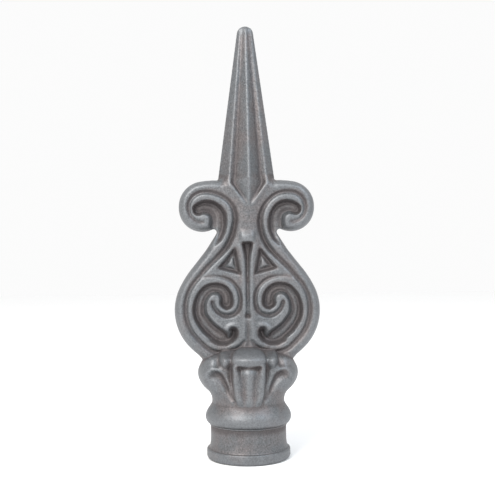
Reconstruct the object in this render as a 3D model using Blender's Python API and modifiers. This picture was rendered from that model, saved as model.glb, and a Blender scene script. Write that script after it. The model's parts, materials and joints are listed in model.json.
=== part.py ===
"""Cast iron railing head: spear point, paired scrolls and a leaf capital on a turned collar.

The head is one casting. It stands on the flange of its collar, with its origin at the middle
of the underside, +Z up and the scrollwork in the XZ plane, with one face towards -Y.
"""

import math

import bmesh
import bpy
import numpy as np

MM = 0.001

# Heights of the stacked parts, from the underside up.
FLANGE_HEIGHT = 5.3 * MM
COVE_HEIGHT = 4.6 * MM
NECK_HEIGHT = 6.6 * MM
TORUS_HEIGHT = 8.8 * MM
CAPITAL_HEIGHT = 24.7 * MM
PANEL_HEIGHT = 88.5 * MM
SPEAR_HEIGHT = 76.5 * MM

# The turned collar.
FLANGE_DIAMETER = 41.6 * MM
FLANGE_ROUNDING = 1.9 * MM
SHOULDER_ROUNDING = 1.0 * MM
NECK_DIAMETER = 37.6 * MM
COVE_SPRING = 0.75
TORUS_DIAMETER = 42.7 * MM
TORUS_BELLY = 0.5
SHOULDER_RUN_OUT = 0.36
SHOULDER_SWELL = 0.8
SEAT_BEAD = 0.5 * MM
SHOULDER_GAP = 0.1 * MM

# The socket that slips over the top of a round fence bar.
BAR_DIAMETER = 25.0 * MM
BAR_CLEARANCE = 0.5 * MM
SOCKET_DEPTH = 30.0 * MM
SOCKET_OVERCUT = 1.0 * MM

# The leaf capital.
CAPITAL_DIAMETER = 36.0 * MM
SIDE_LEAF_SPREAD = 50.0 * MM
LIP_SPREAD = 43.0 * MM
LEAF_RELIEF = 1.5 * MM
TANG_LENGTH = 0.6
TANG_WIDTH = 0.6

# The scroll panel.
PANEL_WIDTH = 72.6 * MM
PANEL_THICKNESS = 15.0 * MM
PANEL_CROWN = 1.2 * MM
EDGE_ROUNDING = 3.6 * MM
GROOVE_DEPTH = 2.6 * MM
FLUTE_DEPTH = 4.8 * MM
HOOD_HEIGHT = 1.4 * MM
STEM_RIB_HEIGHT = 0.6 * MM
HOOK_RIB_HEIGHT = 0.9 * MM
UPPER_ARRIS_HEIGHT = 0.12
HEART_ARRIS_HEIGHT = 0.17
ARRIS_SPREAD = 0.5
FLUTE_FLOOR = 0.55

# The spear.
SPEAR_WIDTH = 28.2 * MM
SPEAR_DEPTH = 23.0 * MM
SPEAR_TIP_WIDTH = 8.4 * MM
SPEAR_EDGE = 0.9 * MM
SPEAR_FOOT_DROP = 15.1 * MM
FOOT_SINKING = 2.5 * MM
FOOT_BORDER = 2.4 * MM
FOOT_RIM = 0.8 * MM
SHOULDER_BLEND = 4.5 * MM
SPEAR_TURN = 5.5

# Fineness of the casting's mesh.
PATTERN_STEP = 0.8 * MM
PATTERN_SOFTNESS = 0.4 * MM
VOXEL_SIZE = 0.7 * MM
SANDING_PASSES = 1
CARVED_TRIANGLES = 6700
COLLAR_STEPS = 48
TURNING_STEPS = 5

# The pattern of the panel is drawn on a half sheet 36.3 wide and 88.5 high, from its lower end.
# A line is a start point, a heading in degrees from +X, and arcs of (radius, sweep) that
# follow each other smoothly. A positive sweep turns left.
PANEL_SHEET = (36.3, 88.5)
PANEL_OUTLINE = (
    (14.3, 88.1), 2.7,
    ((41.2, -12.7), (12.6, -71.8), (15.0, -20.7), (11.6, -103.0), (1.51, 145.4),
     (99.9, 11.1), (50.7, -14.8), (26.1, -72.0), (55.6, -5.4)))
LONG_GROOVE = (
    (22.1, 67.3), 1.0,
    ((6.47, 61.9), (7.46, 107.6), (13.8, 104.0), (25.1, 42.4), (108.0, -9.4),
     (21.4, -77.7), (37.9, -10.1), (13.0, -95.8)))
HEART_GROOVE = (
    (22.8, 39.6), 161.3,
    ((17.8, 38.5), (11.2, 89.9), (6.2, 93.8), (7.99, 57.7)))
UPPER_ARRIS = (
    (23.9, 73.6), 145.3,
    ((6.08, 109.3), (12.1, 36.3), (34.0, 13.8)))
HEART_ARRIS = (
    (10.7, 27.5), 102.1,
    ((5.76, -149.8), (13.0, -42.3), (8.6, -31.0), (28.8, -27.0)))
HOOK_FLUTE = ((17.0, 9.8), (14.2, 8.5), (11.2, 8.5), (8.6, 9.6), (7.0, 11.5), (6.9, 13.1))
HOOK_RIB = (
    (4.4, 15.3), 48.0,
    ((3.75, -155.0),))

# Half widths of what is carved along a line, as (share of its length, left, right, depth),
# where depth is a share of the full depth.
LONG_GROOVE_CUT = (
    (0.0, 1.2, 1.4, 0.45), (0.08, 1.4, 1.9, 0.6), (0.26, 1.5, 2.2, 0.65), (0.33, 2.1, 2.5, 1.0),
    (0.42, 2.2, 2.4, 1.1), (0.48, 2.1, 1.8, 0.75), (0.6, 2.2, 1.6, 0.65), (0.88, 2.1, 1.6, 0.65),
    (1.0, 1.6, 1.6, 0.5))
HEART_GROOVE_CUT = (
    (0.0, 0.7, 0.8, 0.2), (0.12, 1.0, 1.0, 0.4), (0.3, 1.4, 1.5, 0.6), (0.6, 1.7, 1.7, 0.75),
    (0.8, 1.9, 1.9, 0.85), (1.0, 1.4, 1.4, 0.7))
UPPER_CHANNEL_CUT = (
    (0.0, 3.5, 3.1, 0.85), (0.22, 4.4, 4.0, 1.0), (0.45, 4.6, 4.4, 1.0), (0.66, 5.2, 4.5, 1.0),
    (0.8, 3.6, 4.4, 0.8), (1.0, 1.4, 2.6, 0.0))
HEART_CHANNEL_CUT = (
    (0.0, 3.9, 3.5, 0.95), (0.14, 3.6, 3.1, 0.9), (0.25, 2.9, 3.1, 0.85), (0.42, 3.4, 3.2, 0.85),
    (0.6, 3.4, 4.1, 0.95), (0.8, 4.0, 4.4, 1.0), (0.9, 3.7, 4.7, 1.0), (1.0, 2.8, 5.0, 1.0))
HOOK_FLUTE_CUT = (
    (0.0, 2.8, 2.8, 0.9), (0.5, 3.0, 2.9, 1.0), (0.8, 2.8, 3.0, 1.0), (1.0, 2.8, 3.1, 0.9))
STEM_SLOT = ((18.6, 0.6, 0.5), (21.0, 1.0, 0.9), (24.0, 0.4, 0.7), (40.0, 0.45, 0.8),
             (47.0, 0.6, 1.1), (50.5, 1.0, 1.3), (53.0, 1.5, 1.4), (57.0, 2.1, 1.5))
HEART_CLEFT = ((0.0, 18.4), (0.0, 6.5))
HEART_CLEFT_CUT = ((0.0, 1.8, 1.8, 0.3), (0.5, 2.3, 2.3, 0.6), (1.0, 2.6, 2.6, 0.4))
WEDGE_CORNERS = ((6.0, 54.8), (3.5, 41.3), (14.6, 44.4))

# The pattern of the capital is drawn on a quarter of its round, as seen from the front,
# 18 to the side of the axis and 24.7 high, from the top of the collar.
CAPITAL_SHEET = (18.0, 24.7)
SIDE_LOBE = (
    (22.9, 24.7), -94.1,
    ((5.41, 38.6), (7.26, -61.4), (13.7, -27.3), (6.7, 81.9)))
SIDE_RIB = (
    (7.9, 3.0), 85.0,
    ((41.5, -21.5), (4.6, -98.5), (6.5, -33.0)))
SIDE_COMMA = (
    (16.7, 17.6), 185.0,
    ((5.0, 50.0), (33.0, 18.0)))
FRONT_RIM = (
    (4.4, 3.0), 74.5,
    ((66.0, 16.0), (1.9, 94.0), (75.0, -4.0)))

COLLAR_TOP = FLANGE_HEIGHT + COVE_HEIGHT + NECK_HEIGHT + TORUS_HEIGHT
PANEL_BASE = COLLAR_TOP + CAPITAL_HEIGHT
SPEAR_BASE = PANEL_BASE + PANEL_HEIGHT


def smooth_step(low, high, value):
    """0 below low, 1 above high and an easy S between them."""
    share = np.clip((value - low) / (high - low), 0.0, 1.0)
    return share * share * (3.0 - 2.0 * share)


def hump(value, middle, half_width):
    """A round bump of height 1 that dies away at half_width from the middle."""
    share = np.clip(np.abs(value - middle) / half_width, 0.0, 1.0)
    return (1.0 - share * share) ** 2


def arc_line(drawn, scale, base=0.0):
    """Points along a line's arcs, scaled to real size and raised by base."""
    (x, z), heading, arcs = drawn
    angle = math.radians(heading)
    points = [(x, z)]
    for radius, sweep in arcs:
        turn = math.radians(sweep)
        side = math.copysign(radius, turn)
        centre_x = x - side * math.sin(angle)
        centre_z = z + side * math.cos(angle)
        count = max(2, math.ceil(abs(sweep) / 6.0))
        for k in range(1, count + 1):
            now = angle + turn * k / count
            points.append((centre_x + side * math.sin(now), centre_z - side * math.cos(now)))
        x, z = points[-1]
        angle += turn
    return np.array(points) * scale + (0.0, base)


def nearest(x, z, line):
    """Each point's distance to a line, how far along it that place is, and if it is left of it."""
    best = np.full(x.shape, np.inf)
    place = np.zeros(x.shape)
    left = np.zeros(x.shape, bool)
    steps = np.diff(line, axis=0)
    lengths = np.hypot(steps[:, 0], steps[:, 1])
    run = 0.0
    for start, step, length in zip(line[:-1], steps, lengths):
        from_x = x - start[0]
        from_z = z - start[1]
        along = np.clip((from_x * step[0] + from_z * step[1]) / length ** 2, 0.0, 1.0)
        far = np.hypot(from_x - along * step[0], from_z - along * step[1])
        nearer = far < best
        best = np.where(nearer, far, best)
        place = np.where(nearer, run + along * length, place)
        left = np.where(nearer, step[0] * from_z > step[1] * from_x, left)
        run += length
    return best, place / run, left


def inside(x, z, line):
    """True for the points between the axis and a line that runs down its right side."""
    odd = np.zeros(x.shape, bool)
    loop = np.vstack([line, [(-1.0, line[-1][1]), (-1.0, line[0][1])]])
    for (x0, z0), (x1, z1) in zip(loop, np.roll(loop, -1, axis=0)):
        if z0 == z1:
            continue
        spans = (z0 > z) != (z1 > z)
        odd ^= spans & (x < x0 + (z - z0) * (x1 - x0) / (z1 - z0))
    return odd


def across(x, z, line, cut, unit):
    """How far each point is across a carved line, 0 on it and 1 at its side, and its depth."""
    far, place, left = nearest(x, z, line)
    places, lefts, rights, depths = np.array(cut).T
    width = np.where(left, np.interp(place, places, lefts), np.interp(place, places, rights))
    return np.clip(far / (width * unit), 0.0, 1.0), np.interp(place, places, depths)


def groove(x, z, line, cut, unit):
    """A groove whose sides roll over into the ribs beside it."""
    share, depth = across(x, z, line, cut, unit)
    return depth * (0.5 + 0.5 * np.cos(math.pi * share)) ** 1.15


def channel(x, z, line, cut, unit, arris_height):
    """Two flutes with a low arris between them that follows the line."""
    share, depth = across(x, z, line, cut, unit)
    wall = 0.5 - 0.5 * np.cos(math.pi * np.clip((1.0 - share) / (1.0 - FLUTE_FLOOR), 0.0, 1.0))
    return depth * (wall - arris_height * hump(share, 0.0, ARRIS_SPREAD))


def stem(u, v):
    """The slot down the stem, with a flat upper end, and the height of the rib beside it."""
    heights, halves, depths = np.array(STEM_SLOT).T
    half = np.interp(v, heights, halves)
    ends = smooth_step(57.2, 56.4, v) * smooth_step(18.6, 20.4, v)
    slot = smooth_step(half + 0.7, half - 0.5, u) * np.interp(v, heights, depths) * ends
    return slot, hump(u, half + 1.9, 1.7) * smooth_step(57.4, 55.6, v) * smooth_step(20.0, 28.0, v)


def wedge_recess(x, z, corners, unit):
    """A sunk triangle, deepest round its border, with a low pyramid in its middle."""
    ring = list(zip(corners, np.roll(corners, -1, axis=0)))
    within = np.full(x.shape, np.inf)
    for (x0, z0), (x1, z1) in ring:
        length = math.hypot(x1 - x0, z1 - z0)
        within = np.minimum(within, ((x1 - x0) * (z - z0) - (z1 - z0) * (x - x0)) / length)
    wall = smooth_step(-0.5 * unit, 1.1 * unit, within)
    return wall * (1.3 - 0.6 * smooth_step(1.2 * unit, 3.0 * unit, within))


def head_outline():
    """The right side of the head from the spear's tip down to a tang inside the capital."""
    scale = (PANEL_WIDTH / 2.0 / PANEL_SHEET[0], PANEL_HEIGHT / PANEL_SHEET[1])
    drawn = arc_line(PANEL_OUTLINE, scale, PANEL_BASE)
    drawn = drawn[drawn[:, 0] > SPEAR_WIDTH / 2.0 - (drawn[:, 1] < SPEAR_BASE * 0.97)]
    tip = SPEAR_TIP_WIDTH / 2.0
    turns = [math.pi / 2.0 * k / 8.0 for k in range(9)]
    spear = [(tip * math.sin(turn), SPEAR_BASE + SPEAR_HEIGHT - tip * (1.0 - math.cos(turn)))
             for turn in turns]
    spear.append((SPEAR_WIDTH / 2.0, SPEAR_BASE))
    tang_end = PANEL_BASE - CAPITAL_HEIGHT * TANG_LENGTH
    tang = [(CAPITAL_DIAMETER / 2.0 * TANG_WIDTH, tang_end), (0.0, tang_end)]
    return np.vstack([spear, drawn, tang])


def panel_relief(x, z):
    """Half the panel's thickness on its right half, before its edge is rounded."""
    scale = np.array((PANEL_WIDTH / 2.0 / PANEL_SHEET[0], PANEL_HEIGHT / PANEL_SHEET[1]))
    unit = scale.mean()
    u = x / scale[0]
    v = (z - PANEL_BASE) / scale[1]

    def sheet(points):
        return np.array(points) * scale + (0.0, PANEL_BASE)

    def line(drawn):
        return arc_line(drawn, scale, PANEL_BASE)

    crest = PANEL_THICKNESS / 2.0 + PANEL_CROWN * np.exp(-(u / 6.0) ** 2)
    hood = smooth_step(64.5, 59.5, v) * smooth_step(56.4, 57.8, v) * smooth_step(4.4, 2.4, u)
    slot, stem_rib = stem(u, v)
    rib_far, place, _ = nearest(x, z, line(HOOK_RIB))
    hook_rib = hump(rib_far, 0.0, 1.6 * unit) * smooth_step(0.0, 0.3, place)
    crest += HOOD_HEIGHT * hood + STEM_RIB_HEIGHT * stem_rib + HOOK_RIB_HEIGHT * hook_rib

    grooves = [groove(x, z, line(LONG_GROOVE), LONG_GROOVE_CUT, unit),
               groove(x, z, line(HEART_GROOVE), HEART_GROOVE_CUT, unit),
               slot,
               groove(x, z, sheet(HEART_CLEFT), HEART_CLEFT_CUT, unit),
               wedge_recess(x, z, sheet(WEDGE_CORNERS), unit)]
    flutes = [channel(x, z, line(UPPER_ARRIS), UPPER_CHANNEL_CUT, unit, UPPER_ARRIS_HEIGHT),
              channel(x, z, line(HEART_ARRIS), HEART_CHANNEL_CUT, unit, HEART_ARRIS_HEIGHT),
              groove(x, z, sheet(HOOK_FLUTE), HOOK_FLUTE_CUT, unit)]
    return crest - np.maximum(GROOVE_DEPTH * np.max(grooves, axis=0),
                              FLUTE_DEPTH * np.max(flutes, axis=0))


def spear_relief(x, z):
    """Half the spear's thickness: borders, shallow valleys and a ridge, down to its foot."""
    half = SPEAR_WIDTH / 2.0
    tip = SPEAR_TIP_WIDTH / 2.0
    ridge_ratio = SPEAR_DEPTH / SPEAR_WIDTH
    rise = np.clip((z - SPEAR_BASE) / (SPEAR_HEIGHT - tip), 0.0, 1.0)
    width = half + (tip - half) * rise
    share = x / width
    ridge = ridge_ratio * width
    blade = np.interp(share, (0.0, 0.45, 0.66, 1.0), (1.0, 0.44, 0.6, 0.04)) * ridge
    into_tip = np.clip((z - SPEAR_BASE - SPEAR_HEIGHT) / tip + 1.0, 0.0, 1.0)
    blade *= np.sqrt(1.0 - into_tip ** 2)

    # The foot runs down into the panel as a V that is sunk below the panel's face.
    low = np.clip((z - SPEAR_BASE + SPEAR_FOOT_DROP) / SPEAR_FOOT_DROP, 0.0, 1.0)
    foot_half = np.minimum(0.76 * low, 0.66) * half
    foot_ridge = PANEL_THICKNESS / 2.0 + PANEL_CROWN \
        + (ridge_ratio * half - PANEL_THICKNESS / 2.0 - PANEL_CROWN) * low
    slope = ridge_ratio
    foot = foot_ridge - slope * x
    return blade, foot, foot_half


def head_relief(x, z):
    """Half the head's thickness on its right half, before its edge is rounded."""
    panel = panel_relief(x, z)
    blade, foot, foot_half = spear_relief(x, z)
    into = foot_half - x
    sunk = FOOT_SINKING * smooth_step(0.0, FOOT_BORDER, into)
    v_foot = np.where(into > 0.0, np.maximum(panel - sunk, foot), panel)
    v_foot += FOOT_RIM * hump(into, 0.0, FOOT_BORDER) * smooth_step(0.0, FOOT_BORDER, foot_half)
    half = SPEAR_WIDTH / 2.0
    above = smooth_step(-SHOULDER_BLEND, SHOULDER_BLEND / 2.0, z - SPEAR_BASE)
    above *= np.where(z > SPEAR_BASE, 1.0, smooth_step(half + FOOT_BORDER, half - FOOT_BORDER, x))
    return v_foot + (blade - v_foot) * above


def soften(sheet, radius):
    """Blur a grid of heights by a small bell of the given radius in grid steps."""
    reach = max(1, math.ceil(3.0 * radius))
    bell = np.exp(-0.5 * (np.arange(-reach, reach + 1) / radius) ** 2)
    bell /= bell.sum()
    for axis in (0, 1):
        padding = [(reach, reach) if a == axis else (0, 0) for a in (0, 1)]
        padded = np.pad(sheet, padding, mode="reflect")
        sheet = np.apply_along_axis(np.convolve, axis, padded, bell, mode="valid")
    return sheet


def new_object(name, mesh, collection):
    thing = bpy.data.objects.new(name, mesh)
    collection.objects.link(thing)
    return thing


def scroll_and_spear(collection):
    """A quarter sheet of the head, open at its two mirror planes, with its mirrors."""
    outline = head_outline()
    width = outline[:, 0].max() + 2.0 * PATTERN_STEP
    low = outline[:, 1].min() - PATTERN_STEP
    high = outline[:, 1].max() + 2.0 * PATTERN_STEP
    columns = math.ceil(width / PATTERN_STEP)
    rows = math.ceil((high - low) / PATTERN_STEP)
    sheet = bmesh.new()
    bmesh.ops.create_grid(sheet, x_segments=columns, y_segments=rows, size=0.5)
    place = np.array([vert.co for vert in sheet.verts])
    x = (place[:, 0] + 0.5) * columns * PATTERN_STEP
    z = low + (place[:, 1] + 0.5) * rows * PATTERN_STEP
    relief = head_relief(x, z).reshape(rows + 1, columns + 1)
    relief = soften(relief, PATTERN_SOFTNESS / PATTERN_STEP).ravel()

    within = inside(x, z, outline)
    edge_far = nearest(x, z, outline)[0]
    share = np.clip(edge_far / EDGE_ROUNDING, 0.0, 1.0)
    panel_edge = PANEL_THICKNESS / 2.0 * np.sqrt(1.0 - (1.0 - share) ** 2)
    panel_edge += PANEL_THICKNESS * smooth_step(0.97, 1.0, share)
    spear_edge = SPEAR_EDGE + 2.0 * edge_far
    edge = np.where(z > SPEAR_BASE, spear_edge, panel_edge)
    height = np.where(within, np.minimum(relief, edge), 0.0)

    sheet.verts.ensure_lookup_table()
    doomed = []
    for vert in sheet.verts:
        i = vert.index
        vert.co = (x[i], -height[i], z[i])
        if within[i]:
            continue
        if any(within[other.index] for face in vert.link_faces for other in face.verts):
            near_x, near_z = nearest_point(x[i], z[i], outline)
            vert.co = (near_x, 0.0, near_z)
        else:
            doomed.append(vert)
    bmesh.ops.delete(sheet, geom=doomed, context="VERTS")
    mesh = bpy.data.meshes.new("scroll_and_spear")
    sheet.to_mesh(mesh)
    sheet.free()
    body = new_object("scroll_and_spear", mesh, collection)
    mirror = body.modifiers.new("mirror", "MIRROR")
    mirror.use_axis = (True, True, False)
    mirror.merge_threshold = 0.00001
    apply_modifiers(body)
    turn_spear(body.data)
    return body


def turn_spear(mesh):
    """Lean the spear's faces round its axis, dying away in the panel below its foot."""
    place = mesh_points(mesh)
    blend = smooth_step(SPEAR_BASE - 1.8 * SPEAR_FOOT_DROP, SPEAR_BASE - 0.7 * SPEAR_FOOT_DROP,
                        place[:, 2])
    blend *= smooth_step(SPEAR_WIDTH * 0.58, SPEAR_WIDTH * 0.36, np.abs(place[:, 0]))
    place[:, 0] -= place[:, 1] * math.tan(math.radians(SPEAR_TURN)) * blend
    mesh.vertices.foreach_set("co", place.ravel())


def mesh_points(mesh):
    place = np.empty(len(mesh.vertices) * 3)
    mesh.vertices.foreach_get("co", place)
    return place.reshape(-1, 3)


def nearest_point(x, z, line):
    """The place on a line that is nearest to one point."""
    steps = np.diff(line, axis=0)
    along = (x - line[:-1, 0]) * steps[:, 0] + (z - line[:-1, 1]) * steps[:, 1]
    along = np.clip(along / (steps ** 2).sum(axis=1), 0.0, 1.0)
    places = line[:-1] + along[:, None] * steps
    best = places[np.hypot(places[:, 0] - x, places[:, 1] - z).argmin()]
    return max(best[0], 0.0), best[1]


def front_leaf(x, v, rim):
    """The front leaf's relief: a sunk blade with a middle rib, framed by a rim that arches over."""
    far, _, inner = nearest(x, v, rim)
    band = np.interp(v, (3.0, 7.0, 11.0, 15.0, 20.0, 22.0), (1.4, 1.7, 2.3, 2.3, 1.6, 1.0))
    blade = np.where(inner, smooth_step(band - 0.4, band + 0.9, far), 0.0)
    under_rim = smooth_step(18.0, 21.8, v)
    rib = 0.9 * hump(x, 0.0, 4.9) * (1.0 - 0.4 * under_rim)
    frame = np.where(inner | (far < 0.8), 0.7, 0.7 * smooth_step(1.9, 0.8, far))
    return frame + 0.5 * hump(far, 0.0, 1.9) - blade * (1.4 + 0.6 * under_rim - 1.4 * rib)


def side_leaf(x, v):
    """The side leaf's relief: a rib that arches over a comma-shaped hollow."""
    rib_far = nearest(x, v, arc_line(SIDE_RIB, np.ones(2)))[0]
    comma_far, place, _ = nearest(x, v, arc_line(SIDE_COMMA, np.ones(2)))
    width = np.interp(place, (0.0, 0.2, 0.45, 1.0), (3.2, 3.3, 2.1, 1.3))
    depth = np.interp(place, (0.0, 0.3, 1.0), (1.9, 1.6, 0.7))
    relief = 0.75 * hump(rib_far, 0.0, 2.0) - depth * hump(comma_far, 0.0, width)
    return relief + 0.3 * hump(comma_far, 1.3 * width, 0.8 * width) * smooth_step(0.35, 0.6, place)


def capital_radius(theta, z):
    """The capital's radius, theta turning from the front (0) to the side (a quarter turn)."""
    core = CAPITAL_DIAMETER / 2.0
    unit = core / CAPITAL_SHEET[0]
    v = (z - COLLAR_TOP) / CAPITAL_HEIGHT * CAPITAL_SHEET[1]
    side_turn = np.degrees(math.pi / 2.0 - theta)

    # The core closes over inside the panel, and a lobe swells out on each side.
    close = np.sqrt(np.clip(1.0 - (np.clip(v - 21.5, 0.0, 8.0) / 8.0) ** 2, 0.0, 1.0))
    lobe = arc_line(SIDE_LOBE, np.ones(2))[::-1]
    waist = lobe[:, 0].min()
    swell = (np.interp(v, lobe[:, 1], lobe[:, 0]) - waist) / (lobe[:, 0].max() - waist)
    swell *= (SIDE_LEAF_SPREAD / 2.0 - core) * smooth_step(31.5, 24.5, v)
    body = core * (0.25 + 0.75 * close) + swell * smooth_step(58.0, 24.0, side_turn)

    rim = arc_line(FRONT_RIM, np.ones(2))
    upright = rim[:rim[:, 0].argmax() + 1]
    rim_reach = np.interp(v, upright[:, 1], upright[:, 0])
    rise = smooth_step(2.2, 7.0, v)
    over = np.clip((v - 22.9) / 7.6, 0.0, 1.0)
    dome_half = 9.3 * np.sqrt(1.0 - over ** 3)
    dome_top = LIP_SPREAD / 2.0 * (0.2 + 0.8 * np.sqrt(1.0 - over ** 2))
    dome_top -= 1.7 * unit * smooth_step(25.4, 22.8, v)
    bud_half = np.interp(v, (17.0, 24.4, 30.0), (2.3, 4.0, 3.6))
    bud_height = np.where(v < 24.4, 6.2, 5.0)

    # What is drawn from the front moves outwards as it stands out, so x settles in steps.
    x = body / unit * np.sin(theta)
    for _ in range(6):
        gap = hump(x, rim_reach + 2.3, 1.4) * smooth_step(31.0, 28.0, v)
        gap *= 0.9 + 0.5 * smooth_step(17.0, 22.0, v)
        side_gap = hump(x, 15.3, 1.7) * smooth_step(20.5, 22.5, v) * smooth_step(31.0, 28.0, v)
        leaves = front_leaf(x, v, rim) * smooth_step(24.2, 23.4, v) + side_leaf(x, v)
        radius = body + LEAF_RELIEF * rise * (leaves - gap - 1.8 * side_gap)
        dome = dome_top - 1.6 * unit * (x / 8.2) ** 2
        dome_share = smooth_step(dome_half, dome_half - 1.2, x) * smooth_step(22.4, 23.2, v)
        radius += np.maximum(dome - radius, 0.0) * dome_share
        bud_far = np.hypot((x - 11.7) / bud_half, (v - 24.4) / bud_height)
        bud = np.clip(1.0 - bud_far ** 2, 0.0, 1.0)
        radius = np.maximum(radius, core * (0.6 + 0.58 * np.sqrt(bud)) * (bud > 0.0))
        x = 0.5 * (x + radius / unit * np.sin(theta))
    return radius


def turned_body(name, profile, steps, collection):
    """A closed round body from a profile of (radius, height) that runs from top to bottom."""
    mesh = bpy.data.meshes.new(name)
    mesh.from_pydata([(radius, 0.0, z) for radius, z in profile],
                     [(k, k + 1) for k in range(len(profile) - 1)], [])
    body = new_object(name, mesh, collection)
    turned = body.modifiers.new("turned", "SCREW")
    turned.axis = "Z"
    turned.steps = steps
    turned.render_steps = steps
    turned.use_merge_vertices = True
    turned.merge_threshold = 0.00001
    return body


def leaf_capital(collection):
    """A turned core with its leaves raised on it, from inside the collar to inside the panel."""
    low = COLLAR_TOP - TORUS_HEIGHT * 0.4
    high = PANEL_BASE + CAPITAL_HEIGHT * 0.32
    core = CAPITAL_DIAMETER / 2.0
    rows = math.ceil((high - low) / PATTERN_STEP)
    around = 4 * math.ceil(math.pi * CAPITAL_DIAMETER / 4.0 / PATTERN_STEP)
    profile = [(core, high - (high - low) * k / rows) for k in range(rows + 1)]
    capital = turned_body("leaf_capital", [(0.0, high)] + profile + [(0.0, low)],
                          around, collection)
    apply_modifiers(capital)

    quarter = around // 4
    turns = np.linspace(0.0, math.pi / 2.0, quarter + 1)
    levels = np.linspace(high, low, rows + 1)
    drawn = soften(capital_radius(*np.meshgrid(turns, levels)), PATTERN_SOFTNESS / PATTERN_STEP)
    place = mesh_points(capital.data)
    reach = np.hypot(place[:, 0], place[:, 1])
    theta = np.arctan2(np.abs(place[:, 0]), np.abs(place[:, 1]))
    row = np.rint((high - place[:, 2]) / (high - low) * rows).astype(int)
    radius = drawn[row, np.rint(theta / (math.pi / 2.0) * quarter).astype(int)]
    plug = core * 0.94
    inner = smooth_step(COLLAR_TOP - TORUS_HEIGHT * 0.3, COLLAR_TOP, place[:, 2])
    radius = plug + (radius - plug) * inner
    stretch = np.where(reach > core / 2.0, radius / core, 1.0)
    place[:, 0] *= stretch
    place[:, 1] *= stretch
    capital.data.vertices.foreach_set("co", place.ravel())
    return capital


def collar(collection):
    """The turned collar: flange, cove, neck and torus, closed at its top inside the capital."""
    flange = FLANGE_DIAMETER / 2.0
    neck = NECK_DIAMETER / 2.0
    torus = TORUS_DIAMETER / 2.0
    shoulder = CAPITAL_DIAMETER / 2.0 - SHOULDER_GAP
    cove_top = FLANGE_HEIGHT + COVE_HEIGHT
    torus_base = cove_top + NECK_HEIGHT
    belly = torus_base + TORUS_BELLY * TORUS_HEIGHT
    run_out = COLLAR_TOP + SHOULDER_RUN_OUT * TORUS_HEIGHT
    profile = [(0.0, run_out), (shoulder, run_out)]
    for k in range(1, TURNING_STEPS + 1):
        share = k / TURNING_STEPS
        flare = (0.5 - 0.5 * math.cos(math.pi * share)) ** SHOULDER_SWELL
        profile.append((shoulder + (torus - shoulder) * flare,
                        run_out - (run_out - belly) * share))
    bead_top = torus_base + 2.0 * SEAT_BEAD
    for k in range(1, TURNING_STEPS + 1):
        sweep = math.pi / 2.0 * k / TURNING_STEPS
        profile.append((neck + 0.4 * SEAT_BEAD + (torus - neck - 0.4 * SEAT_BEAD) * math.cos(sweep),
                        belly - (belly - bead_top) * math.sin(sweep)))
    for k in range(1, 5):
        sweep = math.pi * k / 4.0
        profile.append((neck + SEAT_BEAD * math.sin(sweep),
                        torus_base + SEAT_BEAD * (1.0 + math.cos(sweep))))
    profile.append((neck, torus_base - NECK_HEIGHT * 0.5))
    spread = flange - SHOULDER_ROUNDING - neck
    for k in range(TURNING_STEPS):
        sweep = math.pi / 2.0 * k / TURNING_STEPS
        profile.append((neck + spread * (1.0 - math.cos(sweep)) ** COVE_SPRING,
                        cove_top - COVE_HEIGHT * math.sin(sweep)))
    for k in range(TURNING_STEPS):
        sweep = math.pi / 2.0 * k / (TURNING_STEPS - 1)
        profile.append((flange - SHOULDER_ROUNDING * (1.0 - math.sin(sweep)),
                        FLANGE_HEIGHT - SHOULDER_ROUNDING * (1.0 - math.cos(sweep))))
    for k in range(TURNING_STEPS):
        sweep = math.pi / 2.0 * k / (TURNING_STEPS - 1)
        profile.append((flange - FLANGE_ROUNDING * (1.0 - math.cos(sweep)),
                        FLANGE_ROUNDING * (1.0 - math.sin(sweep))))
    profile.append((0.0, 0.0))
    return turned_body("collar", profile, COLLAR_STEPS, collection)


def socket(collection):
    """The blind round socket in the underside, with a flat end for the bar to seat on."""
    radius = BAR_DIAMETER / 2.0 + BAR_CLEARANCE
    below = SOCKET_OVERCUT
    bpy.ops.mesh.primitive_cylinder_add(
        vertices=COLLAR_STEPS, radius=radius, depth=SOCKET_DEPTH + below,
        location=(0.0, 0.0, (SOCKET_DEPTH - below) / 2.0))
    bore = bpy.context.object
    bore.name = "socket_bore"
    for holder in bore.users_collection:
        holder.objects.unlink(bore)
    collection.objects.link(bore)
    return bore


def apply_modifiers(thing):
    """Turn an object's modifiers into plain mesh."""
    depsgraph = bpy.context.evaluated_depsgraph_get()
    mesh = bpy.data.meshes.new_from_object(thing.evaluated_get(depsgraph))
    thing.modifiers.clear()
    thing.data = mesh


def join_bodies(name, bodies, collection):
    """One mesh that holds several overlapping closed bodies, for the remesh to fuse."""
    joined = bmesh.new()
    for body in bodies:
        joined.from_mesh(body.data)
        bpy.data.objects.remove(body)
    mesh = bpy.data.meshes.new(name)
    joined.to_mesh(mesh)
    joined.free()
    return new_object(name, mesh, collection)


def cast_iron():
    """Raw tumbled grey iron."""
    material = bpy.data.materials.new("cast_iron")
    material.use_nodes = True
    shader = material.node_tree.nodes["Principled BSDF"]
    shader.inputs["Base Color"].default_value = (0.22, 0.22, 0.225, 1.0)
    shader.inputs["Metallic"].default_value = 0.85
    shader.inputs["Roughness"].default_value = 0.5
    material.diffuse_color = (0.35, 0.35, 0.36, 1.0)
    return material


def cutter_style(thing):
    thing.hide_render = True
    thing.display_type = "WIRE"
    return thing


def triangle_count(thing):
    depsgraph = bpy.context.evaluated_depsgraph_get()
    shown = thing.evaluated_get(depsgraph)
    mesh = shown.to_mesh()
    mesh.calc_loop_triangles()
    count = len(mesh.loop_triangles)
    shown.to_mesh_clear()
    return count


def boolean(thing, name, operation, other):
    cut = thing.modifiers.new(name, "BOOLEAN")
    cut.operation = operation
    cut.solver = "EXACT"
    cut.object = other


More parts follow.
